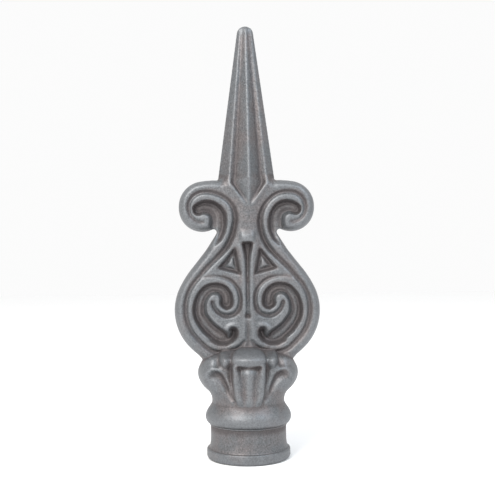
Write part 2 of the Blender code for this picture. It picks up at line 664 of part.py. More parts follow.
def main():
    for thing in list(bpy.data.objects):
        bpy.data.objects.remove(thing, do_unlink=True)
    parts = bpy.data.collections.new("railing_head")
    cutters = bpy.data.collections.new("railing_head_cutters")
    bpy.context.scene.collection.children.link(parts)
    bpy.context.scene.collection.children.link(cutters)

    head = join_bodies("railing_head", [scroll_and_spear(parts), leaf_capital(parts)], parts)
    fused = head.modifiers.new("fused", "REMESH")
    fused.mode = "VOXEL"
    fused.voxel_size = VOXEL_SIZE
    sanded = head.modifiers.new("sanded", "SMOOTH")
    sanded.factor = 0.5
    sanded.iterations = SANDING_PASSES
    count = triangle_count(head)
    thinned = head.modifiers.new("thinned", "DECIMATE")
    thinned.use_collapse_triangulate = True
    thinned.ratio = CARVED_TRIANGLES / count
    apply_modifiers(head)

    boolean(head, "collar", "UNION", cutter_style(collar(cutters)))
    boolean(head, "socket", "DIFFERENCE", cutter_style(socket(cutters)))
    head.data.materials.append(cast_iron())


main()
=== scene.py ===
"""Looks of a cast iron railing head: spear point, paired scrolls and a leaf capital on a collar.

Laid out as an add-on and run as a script. One operator casts the fine head in place of the plain
one in the frame, and one lays out the floor, the lights and the camera.
"""

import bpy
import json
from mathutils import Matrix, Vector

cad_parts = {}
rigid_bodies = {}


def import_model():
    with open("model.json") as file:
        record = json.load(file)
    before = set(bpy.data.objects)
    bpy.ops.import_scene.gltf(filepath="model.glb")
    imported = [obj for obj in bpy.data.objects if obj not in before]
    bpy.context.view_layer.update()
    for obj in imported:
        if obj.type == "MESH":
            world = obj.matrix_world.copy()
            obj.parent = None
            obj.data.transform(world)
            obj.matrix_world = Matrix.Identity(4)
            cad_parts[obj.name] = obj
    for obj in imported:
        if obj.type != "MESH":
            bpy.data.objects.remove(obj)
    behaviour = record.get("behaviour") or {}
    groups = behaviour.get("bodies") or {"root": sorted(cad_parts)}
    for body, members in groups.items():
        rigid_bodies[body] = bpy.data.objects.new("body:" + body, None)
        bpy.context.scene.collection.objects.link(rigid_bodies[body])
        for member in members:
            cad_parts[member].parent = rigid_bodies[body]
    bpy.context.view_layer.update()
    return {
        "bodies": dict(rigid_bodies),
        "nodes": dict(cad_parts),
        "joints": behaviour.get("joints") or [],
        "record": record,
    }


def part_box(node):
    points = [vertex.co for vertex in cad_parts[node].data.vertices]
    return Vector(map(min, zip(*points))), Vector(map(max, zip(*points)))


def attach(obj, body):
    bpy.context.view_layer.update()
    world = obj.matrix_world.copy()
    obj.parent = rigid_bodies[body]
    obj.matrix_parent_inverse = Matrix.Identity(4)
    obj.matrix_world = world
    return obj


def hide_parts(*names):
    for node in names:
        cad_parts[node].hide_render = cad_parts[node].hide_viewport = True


bl_info = {
    "name": "Cast Iron Railing Head",
    "version": (1, 0, 0),
    "blender": (4, 5, 0),
    "location": "View3D > Sidebar > Railing Head",
    "description": "Casts a spear-topped scroll railing head and lights it on a pale floor",
    "category": "Add Mesh",
}

import json
import math

import bmesh
import bpy
import numpy as np
from bpy.props import FloatProperty, FloatVectorProperty, IntProperty, PointerProperty
from bpy.types import Operator, Panel, PropertyGroup
from mathutils import Matrix, Vector

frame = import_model()
head_low, head_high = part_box("railing_head")

MM = 0.001

# Points closer than MERGE_DISTANCE are one, the collar's bead is turned in BEAD_STEPS facets,
# and SHARP_ANGLE is where an edge starts to show sharp.
MERGE_DISTANCE = 0.01 * MM
BEAD_STEPS = 4
SHARP_ANGLE = math.radians(50.0)

# The height marks stored on the casting: name, how many rounds of neighbours the surroundings
# reach, and the height that counts in full.
HEIGHT_MARKS = (("crest", 8, 0.22 * MM), ("level", 90, 1.1 * MM))

# The pattern of the panel is drawn on a half sheet 36.3 wide and 88.5 high, from its lower end.
# A line is a start point, a heading in degrees from +X, and arcs of (radius, sweep) that
# follow each other smoothly. A positive sweep turns left.
PANEL_SHEET = (36.3, 88.5)
PANEL_OUTLINE = (
    (14.3, 88.1), 2.7,
    ((41.2, -12.7), (12.6, -71.8), (15.0, -20.7), (11.6, -103.0), (1.51, 145.4),
     (99.9, 11.1), (50.7, -14.8), (26.1, -72.0), (55.6, -5.4)))
LONG_GROOVE = (
    (22.1, 67.3), 1.0,
    ((6.47, 61.9), (7.46, 107.6), (13.8, 104.0), (25.1, 42.4), (108.0, -9.4),
     (21.4, -77.7), (37.9, -10.1), (13.0, -95.8)))
HEART_GROOVE = (
    (22.8, 39.6), 161.3,
    ((17.8, 38.5), (11.2, 89.9), (6.2, 93.8), (7.99, 57.7)))
UPPER_ARRIS = (
    (23.9, 73.6), 145.3,
    ((6.08, 109.3), (12.1, 36.3), (34.0, 13.8)))
HEART_ARRIS = (
    (10.7, 27.5), 102.1,
    ((5.76, -149.8), (13.0, -42.3), (8.6, -31.0), (28.8, -27.0)))
HOOK_FLUTE = ((17.0, 9.8), (14.2, 8.5), (11.2, 8.5), (8.6, 9.6), (7.0, 11.5), (6.9, 13.1))
HOOK_RIB = (
    (4.4, 15.3), 48.0,
    ((3.75, -155.0),))

# Half widths of what is carved along a line, as (share of its length, left, right, depth),
# where depth is a share of the full depth.
LONG_GROOVE_CUT = (
    (0.0, 1.2, 1.4, 0.45), (0.08, 1.4, 1.9, 0.6), (0.26, 1.5, 2.2, 0.65), (0.33, 2.1, 2.5, 1.0),
    (0.42, 2.2, 2.4, 1.1), (0.48, 2.1, 1.8, 0.75), (0.6, 2.2, 1.6, 0.65), (0.88, 2.1, 1.6, 0.65),
    (1.0, 1.6, 1.6, 0.5))
HEART_GROOVE_CUT = (
    (0.0, 0.7, 0.8, 0.2), (0.12, 1.0, 1.0, 0.4), (0.3, 1.4, 1.5, 0.6), (0.6, 1.7, 1.7, 0.75),
    (0.8, 1.9, 1.9, 0.85), (1.0, 1.4, 1.4, 0.7))
UPPER_CHANNEL_CUT = (
    (0.0, 3.5, 3.1, 0.85), (0.22, 4.4, 4.0, 1.0), (0.45, 4.6, 4.4, 1.0), (0.66, 5.2, 4.5, 1.0),
    (0.8, 3.6, 4.4, 0.8), (1.0, 1.4, 2.6, 0.0))
HEART_CHANNEL_CUT = (
    (0.0, 3.9, 3.5, 0.95), (0.14, 3.6, 3.1, 0.9), (0.25, 2.9, 3.1, 0.85), (0.42, 3.4, 3.2, 0.85),
    (0.6, 3.4, 4.1, 0.95), (0.8, 4.0, 4.4, 1.0), (0.9, 3.7, 4.7, 1.0), (1.0, 2.8, 5.0, 1.0))
HOOK_FLUTE_CUT = (
    (0.0, 2.8, 2.8, 0.9), (0.5, 3.0, 2.9, 1.0), (0.8, 2.8, 3.0, 1.0), (1.0, 2.8, 3.1, 0.9))
STEM_SLOT = ((18.6, 0.6, 0.5), (21.0, 1.0, 0.9), (24.0, 0.4, 0.7), (40.0, 0.45, 0.8),
             (47.0, 0.6, 1.1), (50.5, 1.0, 1.3), (53.0, 1.5, 1.4), (57.0, 2.1, 1.5))
HEART_CLEFT = ((0.0, 18.4), (0.0, 6.5))
HEART_CLEFT_CUT = ((0.0, 1.8, 1.8, 0.3), (0.5, 2.3, 2.3, 0.6), (1.0, 2.6, 2.6, 0.4))
WEDGE_CORNERS = ((6.0, 54.8), (3.5, 41.3), (14.6, 44.4))

# Where forms on the panel fade in or out, as (none, full).
CROWN_SIDE = 6.0
HOOD_TOP = (64.5, 59.5)
HOOD_FOOT = (56.4, 57.8)
HOOD_SIDE = (4.4, 2.4)
SLOT_TOP = (57.2, 56.4)
SLOT_FOOT = (18.6, 20.4)
SLOT_WALL = (0.7, -0.5)
STEM_RIB_TOP = (57.4, 55.6)
STEM_RIB_FOOT = (20.0, 28.0)
WEDGE_WALL = (-0.5, 1.1)
WEDGE_PYRAMID = (1.2, 3.0)

# The spear's section as shares of its half width and of its ridge's height, and how wide the
# foot spreads and may grow, as shares of the half width.
BLADE_SECTION = ((0.0, 0.45, 0.66, 1.0), (1.0, 0.44, 0.6, 0.04))
FOOT_SPREAD = 0.76
FOOT_WIDTH = 0.66

# The pattern of the capital is drawn on a quarter of its round, as seen from the front,
# 18 to the side of the axis and 24.7 high, from the top of the collar.
CAPITAL_SHEET = (18.0, 24.7)
SIDE_LOBE = (
    (22.9, 24.7), -94.1,
    ((5.41, 38.6), (7.26, -61.4), (13.7, -27.3), (6.7, 81.9)))
SIDE_RIB = (
    (7.9, 3.0), 85.0,
    ((41.5, -21.5), (4.6, -98.5), (6.5, -33.0)))
SIDE_COMMA = (
    (16.7, 17.6), 185.0,
    ((5.0, 50.0), (33.0, 18.0)))
FRONT_RIM = (
    (4.4, 3.0), 74.5,
    ((66.0, 16.0), (1.9, 94.0), (75.0, -4.0)))

# The width of the front leaf's rim at heights on the sheet, the width and depth of the side
# leaf's hollow along its line, the bud's half width at heights on the sheet, its middle and its
# reach down and up, and the front leaf's dome and the core closing over at the top.
RIM_WIDTH = ((3.0, 7.0, 11.0, 15.0, 20.0, 22.0), (1.4, 1.7, 2.3, 2.3, 1.6, 1.0))
COMMA_WIDTH = ((0.0, 0.2, 0.45, 1.0), (3.2, 3.3, 2.1, 1.3))
COMMA_DEPTH = ((0.0, 0.3, 1.0), (1.9, 1.6, 0.7))
BUD_WIDTH = ((17.0, 24.4, 30.0), (2.3, 4.0, 3.6))
BUD_MIDDLE = (11.7, 24.4)
BUD_HEIGHTS = (6.2, 5.0)
DOME_HALF = 9.3
DOME_BASE = 22.9
DOME_RISE = 7.6
CORE_TOP = 21.5
CORE_CLOSING = 8.0

# Where forms on the capital fade in or out, as (none, full). LOBE_TURN is in degrees.
LOBE_TOP = (31.5, 24.5)
LOBE_TURN = (58.0, 24.0)
LEAF_FOOT = (2.2, 7.0)
LEAF_TOP = (24.2, 23.4)
GAP_TOP = (31.0, 28.0)
GAP_DEEPENING = (17.0, 22.0)
SIDE_GAP_FOOT = (20.5, 22.5)
DOME_LIP = (25.4, 22.8)
DOME_FOOT = (22.4, 23.2)
UNDER_RIM = (18.0, 21.8)


def mm_size(label, description, default):
    """A length property, its default given in millimetres."""
    return FloatProperty(name=label, description=description, default=default * MM,
                         min=0.0, precision=5, subtype="DISTANCE", unit="LENGTH")


def fraction(label, description, default):
    """A property between 0 and 1."""
    return FloatProperty(name=label, description=description, default=default,
                         min=0.0, max=1.0, subtype="FACTOR")


def colour(label, description, default):
    """A colour property, its default given as linear red, green and blue."""
    return FloatVectorProperty(name=label, description=description, default=default,
                               min=0.0, max=1.0, size=3, subtype="COLOR")


class RAILING_PG_head(PropertyGroup):
    """Sizes of the railing head, and how finely it is cast."""

    flange_height: mm_size("Flange height", "Height of the flange it stands on", 5.3)
    cove_height: mm_size("Cove height", "Height of the hollow above the flange", 4.6)
    neck_height: mm_size("Neck height", "Height of the plain neck", 6.6)
    torus_height: mm_size("Torus height", "Height of the round moulding", 8.8)
    capital_height: mm_size("Capital height", "Height of the leaf capital", 24.7)
    panel_height: mm_size("Scroll height", "Height of the scroll panel", 88.5)
    spear_height: mm_size("Spear height", "Height of the spear above the scrolls", 76.5)

    flange_diameter: mm_size("Flange diameter", "Across the flange", 41.6)
    flange_rounding: mm_size("Flange rounding", "Rounding of its lower edge", 1.9)
    shoulder_rounding: mm_size("Shoulder rounding", "Rounding of its upper edge", 1.0)
    neck_diameter: mm_size("Neck diameter", "Across the plain neck", 37.6)
    cove_spring: fraction("Cove spring", "How steeply the cove leaves the neck", 0.75)
    torus_diameter: mm_size("Torus diameter", "Across the round moulding", 42.7)
    torus_belly: fraction("Torus belly", "Height of its widest place, of its height", 0.5)
    shoulder_run_out: fraction("Shoulder run-out", "Rise of its shoulder into the capital", 0.36)
    shoulder_swell: fraction("Shoulder swell", "How full its shoulder is, fuller when lower", 0.8)
    seat_bead: mm_size("Seat bead", "Radius of the bead under the torus", 0.5)
    shoulder_gap: mm_size("Shoulder gap", "Step from the collar's shoulder in to the capital", 0.1)

    bar_diameter: mm_size("Bar diameter", "The fence bar that the head slips over", 25.0)
    bar_clearance: mm_size("Bar clearance", "Play round the bar", 0.5)
    socket_depth: mm_size("Socket depth", "Depth of the socket", 30.0)
    socket_overcut: mm_size("Socket overcut", "How far its cutter runs out below", 1.0)

    capital_diameter: mm_size("Capital diameter", "Across the capital's core", 36.0)
    side_leaf_spread: mm_size("Side leaf spread", "Across the side leaves", 50.0)
    lip_spread: mm_size("Lip spread", "From the front leaf's lip to the back one's", 43.0)
    leaf_relief: mm_size("Leaf relief", "How far the leaves are carved", 1.5)
    tang_length: fraction("Tang length", "The panel's reach down inside the capital, of its height", 0.6)
    tang_width: fraction("Tang width", "Width of that reach, of the capital's core", 0.6)

    panel_width: mm_size("Scroll width", "Across the scrolls", 72.6)
    panel_thickness: mm_size("Scroll thickness", "Thickness of the scrolls", 15.0)
    panel_crown: mm_size("Scroll crown", "Swelling of the panel along its axis", 1.2)
    edge_rounding: mm_size("Edge rounding", "Rounding of the panel's edge", 3.6)
    groove_depth: mm_size("Groove depth", "Depth of the grooves between ribs", 2.6)
    flute_depth: mm_size("Flute depth", "Depth of the broad flutes", 4.8)
    hood_height: mm_size("Hood height", "Height of the hood over the stem", 1.4)
    stem_rib_height: mm_size("Stem rib height", "Height of the two ribs beside the slot", 0.6)
    hook_rib_height: mm_size("Hook rib height", "Height of the curled rib at the heart's foot", 0.9)
    upper_arris_height: fraction("Upper arris height", "Arris of the upper flutes, of their depth", 0.12)
    heart_arris_height: fraction("Heart arris height", "Arris of the heart's flutes, of their depth", 0.17)
    arris_spread: fraction("Arris spread", "Half width of the arris, of the flutes' half width", 0.5)
    flute_floor: fraction("Flute floor", "Where the flutes' walls rise, of their half width", 0.55)

    spear_width: mm_size("Spear width", "Width at its shoulders", 28.2)
    spear_depth: mm_size("Spear depth", "From ridge to ridge at its shoulders", 23.0)
    spear_tip_width: mm_size("Spear tip width", "Width of its round tip", 8.4)
    spear_edge: mm_size("Spear edge", "Half the thickness of its edges", 0.9)
    spear_foot_drop: mm_size("Spear foot drop", "How far its foot runs down the panel", 15.1)
    foot_sinking: mm_size("Foot sinking", "How far its foot is sunk in the panel", 2.5)
    foot_border: mm_size("Foot border", "Width of the slope into its foot", 2.4)
    foot_rim: mm_size("Foot rim", "Height of the rim round its foot", 0.8)
    shoulder_blend: mm_size("Shoulder blend", "How gently its faces run into the panel", 4.5)
    spear_turn: FloatProperty(name="Spear turn", description="Lean of its faces round its axis",
                              default=math.radians(5.5), subtype="ANGLE", unit="ROTATION")

    pattern_step: mm_size("Pattern step", "Spacing of the carved pattern's points", 0.3)
    pattern_softness: mm_size("Pattern softness", "Blur of the carved pattern", 0.4)
    voxel_size: mm_size("Voxel size", "Cell of the remesh that fuses the casting", 0.3)
    sanding_passes: IntProperty(name="Sanding passes", description="Passes of smoothing",
                                default=7, min=0, max=40)
    carved_triangles: IntProperty(name="Carved triangles", description="Triangles above the collar",
                                  default=170000, min=1000, max=172000)
    collar_steps: IntProperty(name="Collar steps", description="Facets round the collar",
                              default=192, min=12, max=256)
    turning_steps: IntProperty(name="Turning steps", description="Points on each curve of its profile",
                               default=14, min=3, max=32)

    @property
    def collar_top(self):
        return self.flange_height + self.cove_height + self.neck_height + self.torus_height

    @property
    def panel_base(self):
        return self.collar_top + self.capital_height

    @property
    def spear_base(self):
        return self.panel_base + self.panel_height


class RAILING_PG_iron(PropertyGroup):
    """The finish of raw cast iron."""

    warm_grey: colour("Warm grey", "Brownish tone of the skin, in its hollows", (0.132, 0.119, 0.119))
    cool_grey: colour("Cool grey", "Bluish tone of the skin, on its faces", (0.115, 0.121, 0.128))
    # The dark hollow grey is partly dirt and scale, partly painted shade for the grooves.
    hollow_grey: colour("Hollow grey", "Dirt and scale in the grooves", (0.045, 0.04, 0.042))
    # The bright crest grey is partly rubbed metal, partly painted highlight on crests and edges.
    worn_grey: colour("Worn grey", "Rubbed crests and edges", (0.4, 0.405, 0.42))
    # How much the crests are lightened, by wear and by painted highlights.
    wear: fraction("Wear", "How much the crests are rubbed bright", 0.12)
    # How far the hollows are darkened, by dirt and by painted shade.
    dirt: fraction("Dirt", "How much the hollows are darkened", 0.52)
    metallic: fraction("Metallic", "How metallic the skin is", 0.57)
    roughness: fraction("Roughness", "Roughness of the skin", 0.46)
    patch_size: mm_size("Patch size", "Size of the colour patches", 12.0)
    cast_size: mm_size("Cast unevenness size", "Size of the shallow dents from the mould", 2.4)
    cast_depth: mm_size("Cast unevenness", "Depth of the shallow dents", 0.17)
    grain_size: mm_size("Sand grain size", "Size of the sand grain in the skin", 0.7)
    grain_depth: mm_size("Sand grain depth", "Depth of the sand grain", 0.1)
    grain_contrast: fraction("Sand grain contrast", "How much the grain speckles the colour", 0.4)


class RAILING_PG_stage(PropertyGroup):
    """Floor, lights and camera."""

    floor_colour: colour("Floor colour", "Colour of the pale floor", (0.94, 0.94, 0.94))
    floor_width: mm_size("Floor width", "Width of the floor", 3000.0)
    camera_distance: mm_size("Camera distance", "From the lens to the head's axis", 425.0)
    camera_height: mm_size("Camera height", "Height of the lens", 104.5)
    camera_side: mm_size("Camera side step", "How far the lens stands to the right", 0.33)
    camera_turn: FloatProperty(name="Camera turn", description="Round the head, from straight in front",
                               default=math.radians(-1.9), subtype="ANGLE", unit="ROTATION")
    camera_roll: FloatProperty(name="Camera roll", description="Lean of the picture",
                               default=math.radians(-0.53), subtype="ANGLE", unit="ROTATION")
    camera_lens: FloatProperty(name="Lens", description="Focal length in millimetres", default=61.8,
                               min=10.0, unit="CAMERA")
    key_power: FloatProperty(name="Key light", description="Large soft light, in front, upper left",
                             default=8.5, min=0.0, unit="POWER")
    fill_power: FloatProperty(name="Fill light", description="Cool light, in front, upper right",
                              default=3.0, min=0.0, unit="POWER")
    sky_strength: FloatProperty(name="Sky", description="Even light from all round",
                                default=0.97, min=0.0)


def smooth_step(low, high, value):
    """0 below low, 1 above high and an easy S between them."""
    share = np.clip((value - low) / (high - low), 0.0, 1.0)
    return share * share * (3.0 - 2.0 * share)


def hump(value, middle, half_width):
    """A round bump of height 1 that dies away at half_width from the middle."""
    share = np.clip(np.abs(value - middle) / half_width, 0.0, 1.0)
    return (1.0 - share * share) ** 2


def arc_line(drawn, scale, base=0.0):
    """Points along a line's arcs, scaled to real size and raised by base."""
    (x, z), heading, arcs = drawn
    angle = math.radians(heading)
    points = [(x, z)]
    for radius, sweep in arcs:
        turn = math.radians(sweep)
        side = math.copysign(radius, turn)
        centre_x = x - side * math.sin(angle)
        centre_z = z + side * math.cos(angle)
        count = max(2, math.ceil(abs(sweep) / 6.0))
        for k in range(1, count + 1):
            now = angle + turn * k / count
            points.append((centre_x + side * math.sin(now), centre_z - side * math.cos(now)))
        x, z = points[-1]
        angle += turn
    return np.array(points) * scale + (0.0, base)


def nearest(x, z, line):
    """Each point's distance to a line, how far along it that place is, and if it is left of it."""
    best = np.full(x.shape, np.inf)
    place = np.zeros(x.shape)
    left = np.zeros(x.shape, bool)
    steps = np.diff(line, axis=0)
    lengths = np.hypot(steps[:, 0], steps[:, 1])
    run = 0.0
    for start, step, length in zip(line[:-1], steps, lengths):
        from_x = x - start[0]
        from_z = z - start[1]
        along = np.clip((from_x * step[0] + from_z * step[1]) / length ** 2, 0.0, 1.0)
        far = np.hypot(from_x - along * step[0], from_z - along * step[1])
        nearer = far < best
        best = np.where(nearer, far, best)
        place = np.where(nearer, run + along * length, place)
        left = np.where(nearer, step[0] * from_z > step[1] * from_x, left)
        run += length
    return best, place / run, left


def inside(x, z, line):
    """True for the points between the axis and a line that runs down its right side."""
    odd = np.zeros(x.shape, bool)
    loop = np.vstack([line, [(-1.0, line[-1][1]), (-1.0, line[0][1])]])
    for (x0, z0), (x1, z1) in zip(loop, np.roll(loop, -1, axis=0)):
        if z0 == z1:
            continue
        spans = (z0 > z) != (z1 > z)
        odd ^= spans & (x < x0 + (z - z0) * (x1 - x0) / (z1 - z0))
    return odd


def across(x, z, line, cut, unit):
    """How far each point is across a carved line, 0 on it and 1 at its side, and its depth."""
    far, place, left = nearest(x, z, line)
    places, lefts, rights, depths = np.array(cut).T
    width = np.where(left, np.interp(place, places, lefts), np.interp(place, places, rights))
    return np.clip(far / (width * unit), 0.0, 1.0), np.interp(place, places, depths)


def groove(x, z, line, cut, unit):
    """A groove whose sides roll over into the ribs beside it."""
    share, depth = across(x, z, line, cut, unit)
    return depth * (0.5 + 0.5 * np.cos(math.pi * share)) ** 1.15


def channel(size, x, z, line, cut, unit, arris_height):
    """Two flutes with a low arris between them that follows the line."""
    share, depth = across(x, z, line, cut, unit)
    wall = 0.5 - 0.5 * np.cos(math.pi * np.clip((1.0 - share) / (1.0 - size.flute_floor), 0.0, 1.0))
    return depth * (wall - arris_height * hump(share, 0.0, size.arris_spread))


def stem(u, v):
    """The slot down the stem, with a flat upper end, and the height of the rib beside it."""
    heights, halves, depths = np.array(STEM_SLOT).T
    half = np.interp(v, heights, halves)
    ends = smooth_step(*SLOT_TOP, v) * smooth_step(*SLOT_FOOT, v)
    outer, inner = SLOT_WALL
    slot = smooth_step(half + outer, half + inner, u) * np.interp(v, heights, depths) * ends
    rib = hump(u, half + 1.9, 1.7) * smooth_step(*STEM_RIB_TOP, v) * smooth_step(*STEM_RIB_FOOT, v)
    return slot, rib


def wedge_recess(x, z, corners, unit):
    """A sunk triangle, deepest round its border, with a low pyramid in its middle."""
    ring = list(zip(corners, np.roll(corners, -1, axis=0)))
    within = np.full(x.shape, np.inf)
    for (x0, z0), (x1, z1) in ring:
        length = math.hypot(x1 - x0, z1 - z0)
        within = np.minimum(within, ((x1 - x0) * (z - z0) - (z1 - z0) * (x - x0)) / length)
    wall = smooth_step(WEDGE_WALL[0] * unit, WEDGE_WALL[1] * unit, within)
    pyramid = smooth_step(WEDGE_PYRAMID[0] * unit, WEDGE_PYRAMID[1] * unit, within)
    return wall * (1.3 - 0.6 * pyramid)


def head_outline(size):
    """The right side of the head from the spear's tip down to a tang inside the capital."""
    scale = (size.panel_width / 2.0 / PANEL_SHEET[0], size.panel_height / PANEL_SHEET[1])
    drawn = arc_line(PANEL_OUTLINE, scale, size.panel_base)
    drawn = drawn[drawn[:, 0] > size.spear_width / 2.0 - (drawn[:, 1] < size.spear_base * 0.97)]
    tip = size.spear_tip_width / 2.0
    turns = [math.pi / 2.0 * k / 8.0 for k in range(9)]
    spear = [(tip * math.sin(turn), size.spear_base + size.spear_height - tip * (1.0 - math.cos(turn)))
             for turn in turns]
    spear.append((size.spear_width / 2.0, size.spear_base))
    tang_end = size.panel_base - size.capital_height * size.tang_length
    tang = [(size.capital_diameter / 2.0 * size.tang_width, tang_end), (0.0, tang_end)]
    return np.vstack([spear, drawn, tang])


def panel_relief(size, x, z):
    """Half the panel's thickness on its right half, before its edge is rounded."""
    scale = np.array((size.panel_width / 2.0 / PANEL_SHEET[0], size.panel_height / PANEL_SHEET[1]))
    unit = scale.mean()
    u = x / scale[0]
    v = (z - size.panel_base) / scale[1]

    def sheet(points):
        return np.array(points) * scale + (0.0, size.panel_base)

    def line(drawn):
        return arc_line(drawn, scale, size.panel_base)

    crest = size.panel_thickness / 2.0 + size.panel_crown * np.exp(-(u / CROWN_SIDE) ** 2)
    hood = smooth_step(*HOOD_TOP, v) * smooth_step(*HOOD_FOOT, v) * smooth_step(*HOOD_SIDE, u)
    slot, stem_rib = stem(u, v)
    rib_far, place, _ = nearest(x, z, line(HOOK_RIB))
    hook_rib = hump(rib_far, 0.0, 1.6 * unit) * smooth_step(0.0, 0.3, place)
    crest += size.hood_height * hood + size.stem_rib_height * stem_rib + size.hook_rib_height * hook_rib

    grooves = [groove(x, z, line(LONG_GROOVE), LONG_GROOVE_CUT, unit),
               groove(x, z, line(HEART_GROOVE), HEART_GROOVE_CUT, unit),
               slot,
               groove(x, z, sheet(HEART_CLEFT), HEART_CLEFT_CUT, unit),
               wedge_recess(x, z, sheet(WEDGE_CORNERS), unit)]
    flutes = [channel(size, x, z, line(UPPER_ARRIS), UPPER_CHANNEL_CUT, unit, size.upper_arris_height),
              channel(size, x, z, line(HEART_ARRIS), HEART_CHANNEL_CUT, unit, size.heart_arris_height),
              groove(x, z, sheet(HOOK_FLUTE), HOOK_FLUTE_CUT, unit)]
    return crest - np.maximum(size.groove_depth * np.max(grooves, axis=0),
                              size.flute_depth * np.max(flutes, axis=0))


def spear_relief(size, x, z):
    """Half the spear's thickness: borders, shallow valleys and a ridge, down to its foot."""
    half = size.spear_width / 2.0
    tip = size.spear_tip_width / 2.0
    ridge_ratio = size.spear_depth / size.spear_width
    rise = np.clip((z - size.spear_base) / (size.spear_height - tip), 0.0, 1.0)
    width = half + (tip - half) * rise
    share = x / width
    ridge = ridge_ratio * width
    blade = np.interp(share, *BLADE_SECTION) * ridge
    into_tip = np.clip((z - size.spear_base - size.spear_height) / tip + 1.0, 0.0, 1.0)
    blade *= np.sqrt(1.0 - into_tip ** 2)

    # The foot runs down into the panel as a V that is sunk below the panel's face.
    low = np.clip((z - size.spear_base + size.spear_foot_drop) / size.spear_foot_drop, 0.0, 1.0)
    foot_half = np.minimum(FOOT_SPREAD * low, FOOT_WIDTH) * half
    face = size.panel_thickness / 2.0 + size.panel_crown
    foot = face + (ridge_ratio * half - face) * low - ridge_ratio * x
    return blade, foot, foot_half


def head_relief(size, x, z):
    """Half the head's thickness on its right half, before its edge is rounded."""
    panel = panel_relief(size, x, z)
    blade, foot, foot_half = spear_relief(size, x, z)
    into = foot_half - x
    sunk = size.foot_sinking * smooth_step(0.0, size.foot_border, into)
    v_foot = np.where(into > 0.0, np.maximum(panel - sunk, foot), panel)
    rim = size.foot_rim * hump(into, 0.0, size.foot_border)
    v_foot += rim * smooth_step(0.0, size.foot_border, foot_half)
    half = size.spear_width / 2.0
    above = smooth_step(-size.shoulder_blend, size.shoulder_blend / 2.0, z - size.spear_base)
    shoulder = smooth_step(half + size.foot_border, half - size.foot_border, x)
    above *= np.where(z > size.spear_base, 1.0, shoulder)
    return v_foot + (blade - v_foot) * above


def soften(sheet, radius):
    """Blur a grid of heights by a small bell of the given radius in grid steps."""
    reach = max(1, math.ceil(3.0 * radius))
    bell = np.exp(-0.5 * (np.arange(-reach, reach + 1) / radius) ** 2)
    bell /= bell.sum()
    for axis in (0, 1):
        padding = [(reach, reach) if a == axis else (0, 0) for a in (0, 1)]
        padded = np.pad(sheet, padding, mode="reflect")
        sheet = np.apply_along_axis(np.convolve, axis, padded, bell, mode="valid")
    return sheet


def new_object(name, mesh, collection):
    thing = bpy.data.objects.new(name, mesh)
    collection.objects.link(thing)
    return thing


def scroll_and_spear(size, collection):
    """A quarter sheet of the head, open at its two mirror planes, with its mirrors."""
    outline = head_outline(size)
    width = outline[:, 0].max() + 2.0 * size.pattern_step
    low = outline[:, 1].min() - size.pattern_step
    high = outline[:, 1].max() + 2.0 * size.pattern_step
    columns = math.ceil(width / size.pattern_step)
    rows = math.ceil((high - low) / size.pattern_step)
    sheet = bmesh.new()
    bmesh.ops.create_grid(sheet, x_segments=columns, y_segments=rows, size=0.5)
    place = np.array([vert.co for vert in sheet.verts])
    x = (place[:, 0] + 0.5) * columns * size.pattern_step
    z = low + (place[:, 1] + 0.5) * rows * size.pattern_step
    relief = head_relief(size, x, z).reshape(rows + 1, columns + 1)
    relief = soften(relief, size.pattern_softness / size.pattern_step).ravel()

    within = inside(x, z, outline)
    edge_far = nearest(x, z, outline)[0]
    share = np.clip(edge_far / size.edge_rounding, 0.0, 1.0)
    panel_edge = size.panel_thickness / 2.0 * np.sqrt(1.0 - (1.0 - share) ** 2)
    panel_edge += size.panel_thickness * smooth_step(0.97, 1.0, share)
    spear_edge = size.spear_edge + 2.0 * edge_far
    edge = np.where(z > size.spear_base, spear_edge, panel_edge)
    height = np.where(within, np.minimum(relief, edge), 0.0)

    sheet.verts.ensure_lookup_table()
    doomed = []
    for vert in sheet.verts:
        i = vert.index
        vert.co = (x[i], -height[i], z[i])
        if within[i]:
            continue
        if any(within[other.index] for face in vert.link_faces for other in face.verts):
            near_x, near_z = nearest_point(x[i], z[i], outline)
            vert.co = (near_x, 0.0, near_z)
        else:
            doomed.append(vert)
    bmesh.ops.delete(sheet, geom=doomed, context="VERTS")
    mesh = bpy.data.meshes.new("scroll_and_spear")
    sheet.to_mesh(mesh)
    sheet.free()
    body = new_object("scroll_and_spear", mesh, collection)
    mirror = body.modifiers.new("mirror", "MIRROR")
    mirror.use_axis = (True, True, False)
    mirror.merge_threshold = MERGE_DISTANCE
    apply_modifiers(body)
    turn_spear(size, body.data)
    return body


def turn_spear(size, mesh):
    """Lean the spear's faces round its axis, dying away in the panel below its foot."""
    place = mesh_points(mesh)
    blend = smooth_step(size.spear_base - 1.8 * size.spear_foot_drop,
                        size.spear_base - 0.7 * size.spear_foot_drop, place[:, 2])
    blend *= smooth_step(size.spear_width * 0.58, size.spear_width * 0.36, np.abs(place[:, 0]))
    place[:, 0] -= place[:, 1] * math.tan(size.spear_turn) * blend
    mesh.vertices.foreach_set("co", place.ravel())


def mesh_points(mesh):
    place = np.empty(len(mesh.vertices) * 3)
    mesh.vertices.foreach_get("co", place)
    return place.reshape(-1, 3)


def nearest_point(x, z, line):
    """The place on a line that is nearest to one point."""
    steps = np.diff(line, axis=0)
    along = (x - line[:-1, 0]) * steps[:, 0] + (z - line[:-1, 1]) * steps[:, 1]
    along = np.clip(along / (steps ** 2).sum(axis=1), 0.0, 1.0)
    places = line[:-1] + along[:, None] * steps
    best = places[np.hypot(places[:, 0] - x, places[:, 1] - z).argmin()]
    return max(best[0], 0.0), best[1]


